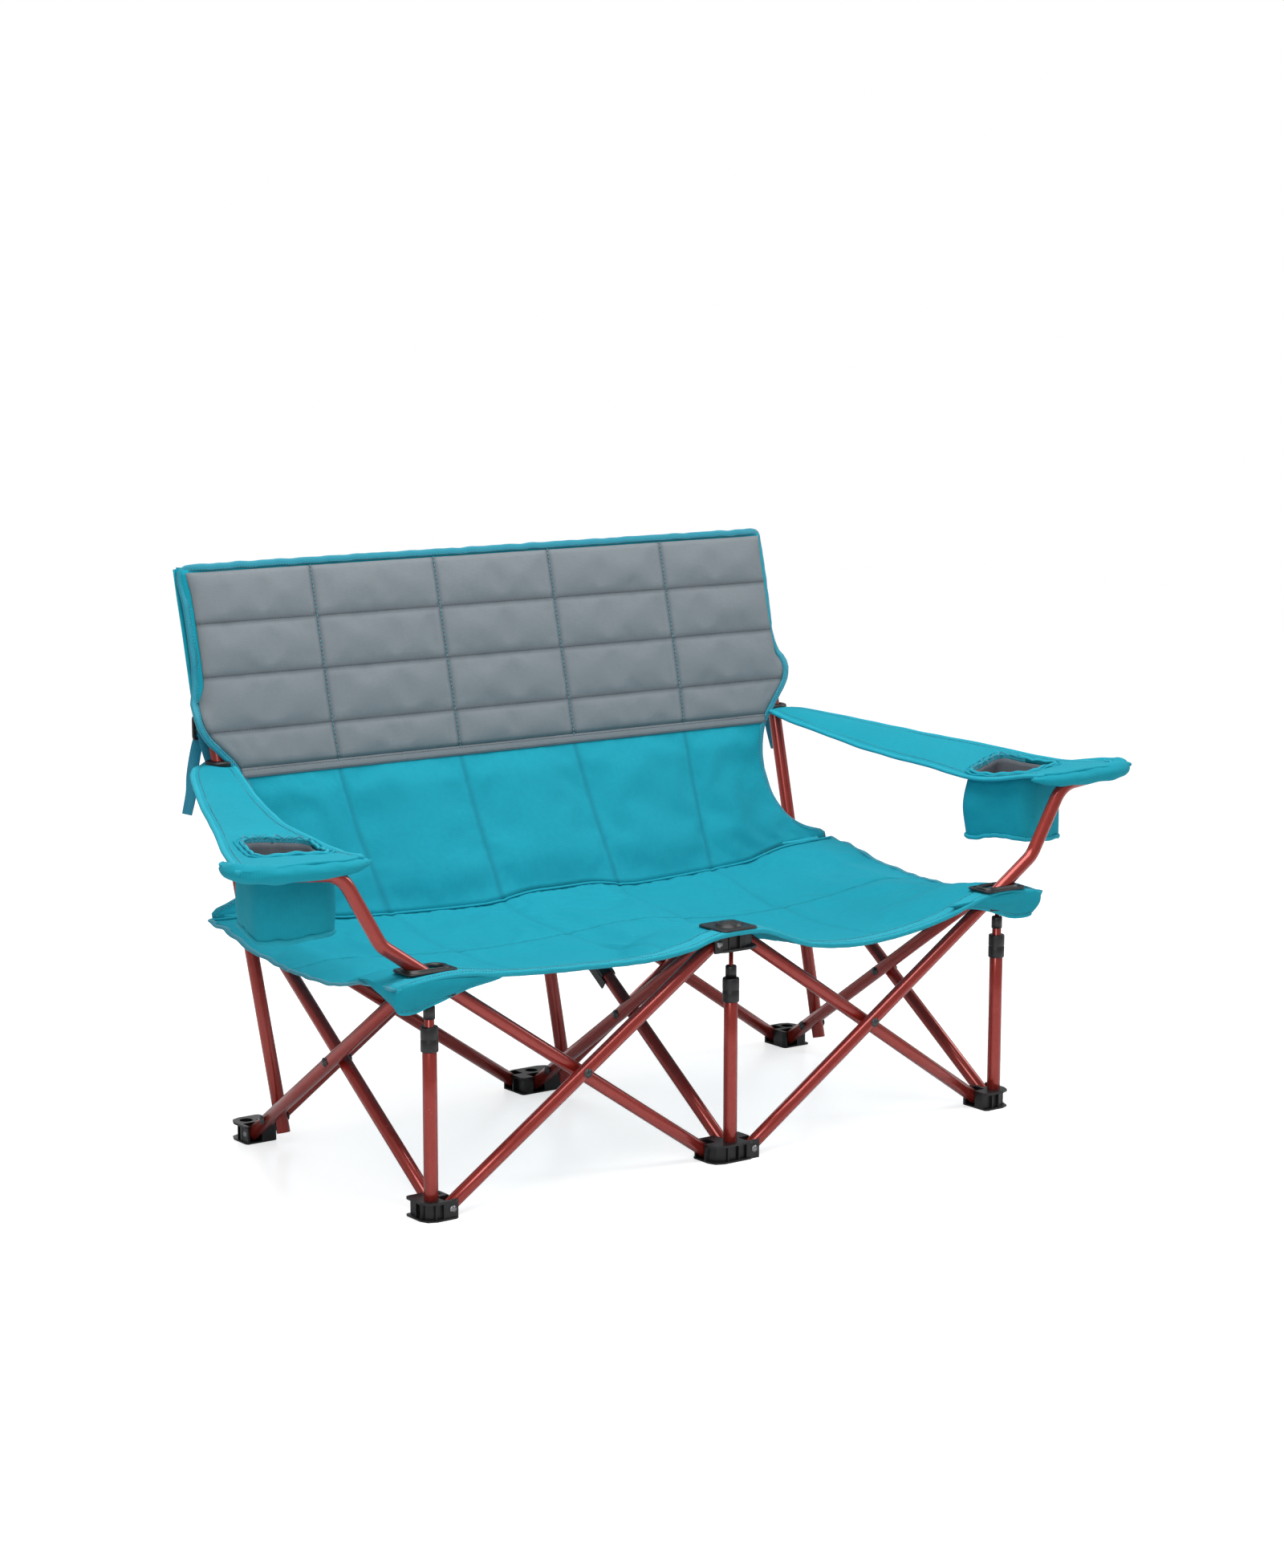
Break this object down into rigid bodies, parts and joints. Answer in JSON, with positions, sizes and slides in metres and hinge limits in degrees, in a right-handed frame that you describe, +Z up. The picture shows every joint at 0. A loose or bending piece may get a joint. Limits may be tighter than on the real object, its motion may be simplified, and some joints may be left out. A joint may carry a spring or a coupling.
{
  "type": "folding camping loveseat",
  "caption": "Folding two-seat camp chair: crossed round-tube frame, moulded hubs and feet, fabric seat, quilted back, fabric armrests with cup holders; folds to a bundle.",
  "frame": {"origin": "on the ground under the middle of the whole chair's outline", "axes": "+X to the right as seen from the front, +Y to the back, +Z up"},
  "size_m": [1.4828, 0.6406, 0.797],
  "materials": {
    "red_paint": "glossy paint on round tube",
    "black_plastic": "moulded, satin",
    "steel": "bare rivets",
    "teal_cloth": "woven polyester",
    "grey_cloth": "quilted woven polyester"
  },
  "bodies": {
    "base": {"foot_front_centre": "black_plastic", "post_outer_front_centre": "red_paint", "post_collar_front_centre": "black_plastic"},
    "front_left_arm_tube": {"tube_front_centre_to_front_left": "red_paint", "cross_rivet_front_left_to_front_centre": "steel"},
    "front_left_cross_tube": {"tube_front_left_to_front_centre": "red_paint"},
    "front_left_foot": {"foot_front_left": "black_plastic", "post_outer_front_left": "red_paint", "post_collar_front_left": "black_plastic"},
    "front_left_hub": {"hub_front_left": "black_plastic", "post_thin_rod_front_left": "red_paint", "seat_plate_left": "black_plastic"},
    "front_centre_hub": {"hub_front_centre": "black_plastic", "post_thin_rod_front_centre": "red_paint", "seat_plate_centre": "black_plastic"},
    "front_right_arm_tube": {"tube_front_centre_to_front_right": "red_paint", "cross_rivet_front_centre_to_front_right": "steel"},
    "front_right_cross_tube": {"tube_front_right_to_front_centre": "red_paint"},
    "front_right_foot": {"foot_front_right": "black_plastic", "post_outer_front_right": "red_paint", "post_collar_front_right": "black_plastic"},
    "front_right_hub": {"hub_front_right": "black_plastic", "post_thin_rod_front_right": "red_paint", "seat_plate_right": "black_plastic"},
    "centre_rearward_tube": {"tube_front_centre_to_back_centre": "red_paint", "cross_rivet_front_centre_to_back_centre": "steel", "tube_guide": "black_plastic"},
    "centre_forward_tube": {"tube_back_centre_to_front_centre": "red_paint"},
    "back_centre_foot": {"foot_back_centre": "black_plastic"},
    "back_centre_hub": {"hub_back_centre": "black_plastic"},
    "left_rearward_tube": {"tube_front_left_to_back_left": "red_paint", "cross_rivet_front_left_to_back_left": "steel"},
    "left_forward_tube": {"tube_back_left_to_front_left": "red_paint"},
    "back_left_foot": {"foot_back_left": "black_plastic"},
    "back_left_hub": {"hub_back_left": "black_plastic"},
    "right_rearward_tube": {"tube_front_right_to_back_right": "red_paint", "cross_rivet_front_right_to_back_right": "steel"},
    "right_forward_tube": {"tube_back_right_to_front_right": "red_paint"},
    "back_right_foot": {"foot_back_right": "black_plastic"},
    "back_right_hub": {"hub_back_right": "black_plastic"},
    "back_left_outward_tube": {"tube_back_centre_to_back_left": "red_paint", "cross_rivet_back_left_to_back_centre": "steel"},
    "back_left_inward_tube": {"tube_back_left_to_back_centre": "red_paint"},
    "back_right_outward_tube": {"tube_back_centre_to_back_right": "red_paint", "cross_rivet_back_centre_to_back_right": "steel"},
    "back_right_inward_tube": {"tube_back_right_to_back_centre": "red_paint"},
    "left_upright": {"upright_left": "red_paint"},
    "centre_upright": {"upright_centre": "red_paint", "back_sling": "teal_cloth", "back_pad": "grey_cloth"},
    "right_upright": {"upright_right": "red_paint"},
    "left_mid_rod": {"post_mid_rod_front_left": "red_paint"},
    "centre_mid_rod": {"post_mid_rod_front_centre": "red_paint"},
    "right_mid_rod": {"post_mid_rod_front_right": "red_paint"},
    "seat_front_half": {"seat_front": "teal_cloth"},
    "seat_rear_half": {"seat_rear": "teal_cloth"},
    "left_armrest": {"armrest_left": "teal_cloth", "cup_holder_left": "teal_cloth"},
    "right_armrest": {"armrest_right": "teal_cloth", "cup_holder_right": "teal_cloth"}
  },
  "joints": [
    {"name": "fold", "type": "hinge", "parent": "base", "child": "front_left_arm_tube", "pos_m": [-0.031, -0.27849, 0.0135], "axis": [0, 1, 0], "range_deg": [0, 46]},
    {"name": "front_left_crossing", "type": "hinge", "parent": "front_left_arm_tube", "child": "front_left_cross_tube", "pos_m": [-0.247, -0.28839, 0.161], "axis": [0, -1, 0], "range_deg": [0, 92]},
    {"name": "front_left_foot_pivot", "type": "hinge", "parent": "front_left_cross_tube", "child": "front_left_foot", "pos_m": [-0.463, -0.29829, 0.0135], "axis": [0, 1, 0], "range_deg": [0, 46]},
    {"name": "front_left_hub_pivot", "type": "hinge", "parent": "front_left_arm_tube", "child": "front_left_hub", "pos_m": [-0.463, -0.27849, 0.3085], "axis": [0, -1, 0], "range_deg": [0, 46]},
    {"name": "front_centre_hub_pivot", "type": "hinge", "parent": "front_left_cross_tube", "child": "front_centre_hub", "pos_m": [-0.031, -0.29829, 0.3085], "axis": [0, 1, 0], "range_deg": [0, 46]},
    {"name": "front_right_arm_pivot", "type": "hinge", "parent": "base", "child": "front_right_arm_tube", "pos_m": [0.031, -0.29829, 0.0135], "axis": [0, -1, 0], "range_deg": [0, 46]},
    {"name": "front_right_crossing", "type": "hinge", "parent": "front_right_arm_tube", "child": "front_right_cross_tube", "pos_m": [0.247, -0.28839, 0.161], "axis": [0, 1, 0], "range_deg": [0, 92]},
    {"name": "front_right_foot_pivot", "type": "hinge", "parent": "front_right_cross_tube", "child": "front_right_foot", "pos_m": [0.463, -0.27849, 0.0135], "axis": [0, -1, 0], "range_deg": [0, 46]},
    {"name": "front_right_hub_pivot", "type": "hinge", "parent": "front_right_arm_tube", "child": "front_right_hub", "pos_m": [0.463, -0.29829, 0.3085], "axis": [0, 1, 0], "range_deg": [0, 46]},
    {"name": "centre_rearward_pivot", "type": "hinge", "parent": "base", "child": "centre_rearward_tube", "pos_m": [0.0099, -0.26839, 0.0135], "axis": [1, 0, 0], "range_deg": [0, 46]},
    {"name": "centre_crossing", "type": "hinge", "parent": "centre_rearward_tube", "child": "centre_forward_tube", "pos_m": [0, -0.05239, 0.161], "axis": [-1, 0, 0], "range_deg": [0, 92]},
    {"name": "back_centre_foot_pivot", "type": "hinge", "parent": "centre_forward_tube", "child": "back_centre_foot", "pos_m": [-0.0099, 0.16361, 0.0135], "axis": [1, 0, 0], "range_deg": [0, 46]},
    {"name": "back_centre_hub_pivot", "type": "hinge", "parent": "centre_rearward_tube", "child": "back_centre_hub", "pos_m": [0.0099, 0.16361, 0.3085], "axis": [-1, 0, 0], "range_deg": [0, 46]},
    {"name": "left_rearward_pivot", "type": "hinge", "parent": "front_left_foot", "child": "left_rearward_tube", "pos_m": [-0.4701, -0.26839, 0.0135], "axis": [1, 0, 0], "range_deg": [0, 46]},
    {"name": "left_crossing", "type": "hinge", "parent": "left_rearward_tube", "child": "left_forward_tube", "pos_m": [-0.48, -0.05239, 0.161], "axis": [-1, 0, 0], "range_deg": [0, 92]},
    {"name": "back_left_foot_pivot", "type": "hinge", "parent": "left_forward_tube", "child": "back_left_foot", "pos_m": [-0.4899, 0.16361, 0.0135], "axis": [1, 0, 0], "range_deg": [0, 46]},
    {"name": "back_left_hub_pivot", "type": "hinge", "parent": "left_rearward_tube", "child": "back_left_hub", "pos_m": [-0.4701, 0.16361, 0.3085], "axis": [-1, 0, 0], "range_deg": [0, 46]},
    {"name": "right_rearward_pivot", "type": "hinge", "parent": "front_right_foot", "child": "right_rearward_tube", "pos_m": [0.4899, -0.26839, 0.0135], "axis": [1, 0, 0], "range_deg": [0, 46]},
    {"name": "right_crossing", "type": "hinge", "parent": "right_rearward_tube", "child": "right_forward_tube", "pos_m": [0.48, -0.05239, 0.161], "axis": [-1, 0, 0], "range_deg": [0, 92]},
    {"name": "back_right_foot_pivot", "type": "hinge", "parent": "right_forward_tube", "child": "back_right_foot", "pos_m": [0.4701, 0.16361, 0.0135], "axis": [1, 0, 0], "range_deg": [0, 46]},
    {"name": "back_right_hub_pivot", "type": "hinge", "parent": "right_rearward_tube", "child": "back_right_hub", "pos_m": [0.4899, 0.16361, 0.3085], "axis": [-1, 0, 0], "range_deg": [0, 46]},
    {"name": "back_left_outward_pivot", "type": "hinge", "parent": "back_centre_foot", "child": "back_left_outward_tube", "pos_m": [-0.031, 0.19351, 0.0135], "axis": [0, 1, 0], "range_deg": [0, 46]},
    {"name": "back_left_crossing", "type": "hinge", "parent": "back_left_outward_tube", "child": "back_left_inward_tube", "pos_m": [-0.247, 0.18361, 0.161], "axis": [0, -1, 0], "range_deg": [0, 92]},
    {"name": "back_right_outward_pivot", "type": "hinge", "parent": "back_centre_foot", "child": "back_right_outward_tube", "pos_m": [0.031, 0.17371, 0.0135], "axis": [0, -1, 0], "range_deg": [0, 46]},
    {"name": "back_right_crossing", "type": "hinge", "parent": "back_right_outward_tube", "child": "back_right_inward_tube", "pos_m": [0.247, 0.18361, 0.161], "axis": [0, 1, 0], "range_deg": [0, 92]},
    {"name": "left_upright_pin", "type": "hinge", "parent": "left_forward_tube", "child": "left_upright", "pos_m": [-0.4703, 0.11901, 0.04395], "axis": [1, 0, 0], "range_deg": [0, 56.33]},
    {"name": "centre_upright_pin", "type": "hinge", "parent": "centre_forward_tube", "child": "centre_upright", "pos_m": [0.0097, 0.11901, 0.04395], "axis": [1, 0, 0], "range_deg": [0, 56.33], "deforming": ["back_sling", "back_pad"]},
    {"name": "right_upright_pin", "type": "hinge", "parent": "right_forward_tube", "child": "right_upright", "pos_m": [0.4897, 0.11901, 0.04395], "axis": [1, 0, 0], "range_deg": [0, 56.33]},
    {"name": "left_mid_rod_slide", "type": "slide", "parent": "front_left_foot", "child": "left_mid_rod", "axis": [0, 0, 1], "range_m": [0, 0.11]},
    {"name": "centre_mid_rod_slide", "type": "slide", "parent": "base", "child": "centre_mid_rod", "axis": [0, 0, 1], "range_m": [0, 0.11]},
    {"name": "right_mid_rod_slide", "type": "slide", "parent": "front_right_foot", "child": "right_mid_rod", "axis": [0, 0, 1], "range_m": [0, 0.11]},
    {"name": "seat_front_hang", "type": "hinge", "parent": "front_centre_hub", "child": "seat_front_half", "pos_m": [0, -0.28839, 0.3235], "axis": [-1, 0, 0], "range_deg": [0, 74.29], "deforming": ["seat_front"]},
    {"name": "seat_rear_hang", "type": "hinge", "parent": "back_centre_hub", "child": "seat_rear_half", "pos_m": [0, 0.18361, 0.3235], "axis": [1, 0, 0], "range_deg": [0, 74.29], "deforming": ["seat_rear"]},
    {"name": "left_armrest_swing", "type": "hinge", "parent": "front_left_arm_tube", "child": "left_armrest", "pos_m": [-0.704, -0.27849, 0.475], "axis": [0, 1, 0], "range_deg": [0, 57.4], "deforming": ["armrest_left", "cup_holder_left"]},
    {"name": "right_armrest_swing", "type": "hinge", "parent": "front_right_arm_tube", "child": "right_armrest", "pos_m": [0.704, -0.29829, 0.475], "axis": [0, -1, 0], "range_deg": [0, 57.4], "deforming": ["armrest_right", "cup_holder_right"]}
  ],
  "couplings": [
    {"joint": "front_left_crossing", "follows": "fold", "ratio": 2},
    {"joint": "front_left_foot_pivot", "follows": "fold", "ratio": 1},
    {"joint": "front_left_hub_pivot", "follows": "fold", "ratio": 1},
    {"joint": "front_centre_hub_pivot", "follows": "fold", "ratio": 1},
    {"joint": "front_right_arm_pivot", "follows": "fold", "ratio": 1},
    {"joint": "front_right_crossing", "follows": "fold", "ratio": 2},
    {"joint": "front_right_foot_pivot", "follows": "fold", "ratio": 1},
    {"joint": "front_right_hub_pivot", "follows": "fold", "ratio": 1},
    {"joint": "centre_rearward_pivot", "follows": "fold", "ratio": 1},
    {"joint": "centre_crossing", "follows": "fold", "ratio": 2},
    {"joint": "back_centre_foot_pivot", "follows": "fold", "ratio": 1},
    {"joint": "back_centre_hub_pivot", "follows": "fold", "ratio": 1},
    {"joint": "left_rearward_pivot", "follows": "fold", "ratio": 1},
    {"joint": "left_crossing", "follows": "fold", "ratio": 2},
    {"joint": "back_left_foot_pivot", "follows": "fold", "ratio": 1},
    {"joint": "back_left_hub_pivot", "follows": "fold", "ratio": 1},
    {"joint": "right_rearward_pivot", "follows": "fold", "ratio": 1},
    {"joint": "right_crossing", "follows": "fold", "ratio": 2},
    {"joint": "back_right_foot_pivot", "follows": "fold", "ratio": 1},
    {"joint": "back_right_hub_pivot", "follows": "fold", "ratio": 1},
    {"joint": "back_left_outward_pivot", "follows": "fold", "ratio": 1},
    {"joint": "back_left_crossing", "follows": "fold", "ratio": 2},
    {"joint": "back_right_outward_pivot", "follows": "fold", "ratio": 1},
    {"joint": "back_right_crossing", "follows": "fold", "ratio": 2},
    {"joint": "left_upright_pin", "follows": "fold", "ratio": 1.2245},
    {"joint": "centre_upright_pin", "follows": "fold", "ratio": 1.2245},
    {"joint": "right_upright_pin", "follows": "fold", "ratio": 1.2245},
    {"joint": "left_mid_rod_slide", "follows": "fold", "m_per_rad": 0.137},
    {"joint": "centre_mid_rod_slide", "follows": "fold", "m_per_rad": 0.137},
    {"joint": "right_mid_rod_slide", "follows": "fold", "m_per_rad": 0.137},
    {"joint": "seat_front_hang", "follows": "fold", "ratio": 1.6149},
    {"joint": "seat_rear_hang", "follows": "fold", "ratio": 1.6149},
    {"joint": "left_armrest_swing", "follows": "fold", "ratio": 1.2478},
    {"joint": "right_armrest_swing", "follows": "fold", "ratio": 1.2478}
  ]
}
